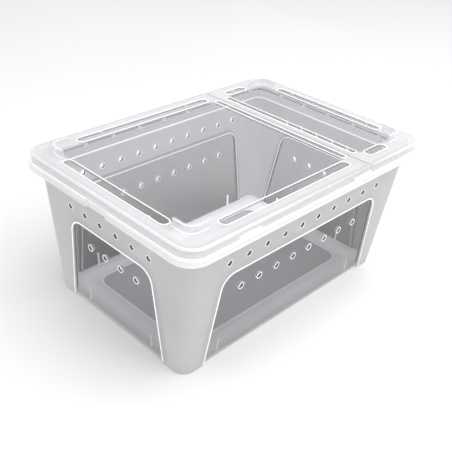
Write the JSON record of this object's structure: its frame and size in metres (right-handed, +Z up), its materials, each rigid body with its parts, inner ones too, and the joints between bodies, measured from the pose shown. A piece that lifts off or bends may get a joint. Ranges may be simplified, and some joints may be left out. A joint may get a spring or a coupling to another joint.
{
  "type": "ventilated rearing box",
  "caption": "Clear plastic rearing box with a frosted frame, polished windows, rows of air holes and a vented lid in a large and a small flip-up section",
  "frame": {"origin": "centre of the footprint, at the height the four feet stand on", "axes": "+X along the long side towards the small lid section, +Y along the short side, +Z up"},
  "size_m": [0.32, 0.22, 0.152],
  "materials": {
    "frosted_tub": "fine moulded frost, translucent grey-white",
    "clear_tub": "polished, see-through, faint grey",
    "clear_neck": "polished, see-through band above the frosted walls",
    "clear_rim": "polished, milky where thick",
    "frosted_lid": "light satin, nearly white",
    "clear_lid": "polished, see-through",
    "clear_ribs": "polished, bright at the edges",
    "clear_hinge": "thin clear film"
  },
  "bodies": {
    "tub": {"tub_frame": "frosted_tub", "tub_neck": "clear_neck", "tub_flange": "clear_rim", "foot_gussets": "frosted_tub", "floor_window": "clear_tub", "front_window": "clear_tub", "right_window": "clear_tub", "back_window": "clear_tub", "left_window": "clear_tub"},
    "lid_hinge": {"hinge_web": "clear_hinge"},
    "large_lid": {"large_lid_frame": "frosted_lid", "large_lid_window": "clear_lid", "large_lid_locating_rib": "clear_ribs", "large_lid_stacking_ribs": "clear_ribs"},
    "small_lid": {"small_lid_frame": "frosted_lid", "small_lid_window": "clear_lid", "small_lid_locating_rib": "clear_ribs", "small_lid_stacking_ribs": "clear_ribs"}
  },
  "joints": [
    {"name": "lid_lift", "type": "slide", "parent": "tub", "child": "lid_hinge", "axis": [0, 0, 1], "range_m": [0, 0.04]},
    {"name": "large_lid_flip", "type": "hinge", "parent": "lid_hinge", "child": "large_lid", "pos_m": [0.068, 0, 0.1445], "axis": [0, 1, 0], "range_deg": [0, 85]},
    {"name": "small_lid_flip", "type": "hinge", "parent": "lid_hinge", "child": "small_lid", "pos_m": [0.068, 0, 0.1445], "axis": [0, -1, 0], "range_deg": [0, 85]}
  ]
}
